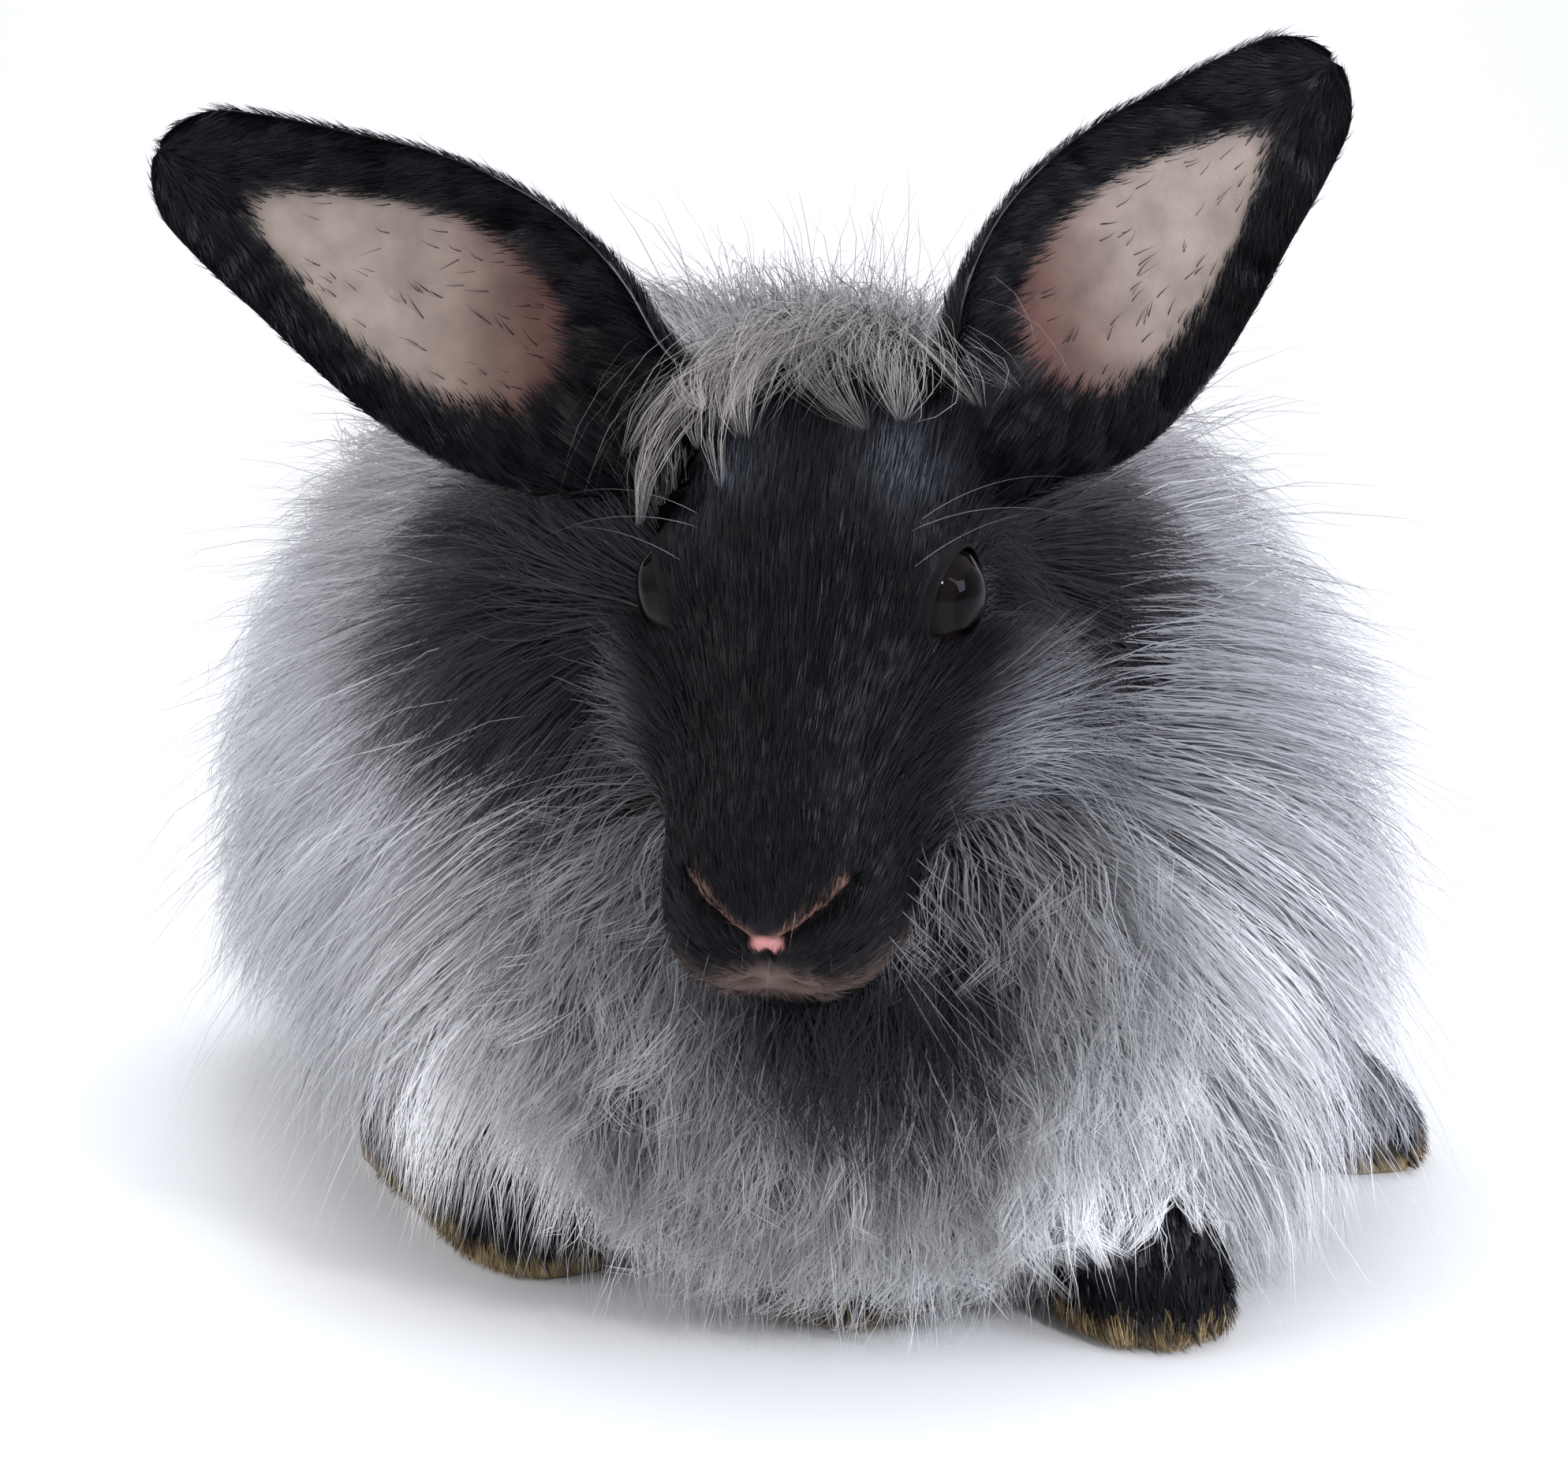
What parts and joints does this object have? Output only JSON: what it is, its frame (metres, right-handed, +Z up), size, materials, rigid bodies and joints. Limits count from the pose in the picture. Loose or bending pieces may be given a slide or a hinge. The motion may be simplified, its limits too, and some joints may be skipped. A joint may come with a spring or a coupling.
{
  "type": "domestic rabbit",
  "caption": "Life-size crouching long-wool rabbit: black short-furred face, upright spread ears, grey wool coat, head turned a little to its right",
  "frame": {"origin": "floor level under the middle of the bounding box", "axes": "+Z up; the rabbit faces -Y, its body turned 10 degrees and its head 13 degrees the other way; +X is its left side"},
  "size_m": [0.2528, 0.335, 0.1944],
  "materials": {
    "head": "short glossy black fur, pink nose, brown-grey lips, grey forelock",
    "neck": "long soft grey wool, darker at the roots, crimped on the chest",
    "torso": "long soft grey wool, darker at the roots, crimped on the chest",
    "tail": "long soft grey wool, darker at the roots, crimped on the chest",
    "ear_left": "velvety black fur behind and on the rims, bare beige to red-brown skin in the cup",
    "ear_right": "velvety black fur behind and on the rims, bare beige to red-brown skin in the cup",
    "eye_left": "wet, near-black eye with a pale glint",
    "eye_right": "wet, near-black eye with a pale glint",
    "foreleg_left": "short black fur, tan fringe at the sole",
    "foreleg_right": "short black fur, tan fringe at the sole",
    "hindleg_left": "short black fur, tan fringe at the sole",
    "hindleg_right": "short black fur, tan fringe at the sole"
  },
  "bodies": {
    "root": {"head": "head", "neck": "neck", "torso": "torso", "tail": "tail", "ear_left": "ear_left", "ear_right": "ear_right", "eye_left": "eye_left", "eye_right": "eye_right", "foreleg_left": "foreleg_left", "foreleg_right": "foreleg_right", "hindleg_left": "hindleg_left", "hindleg_right": "hindleg_right"}
  },
  "joints": []
}
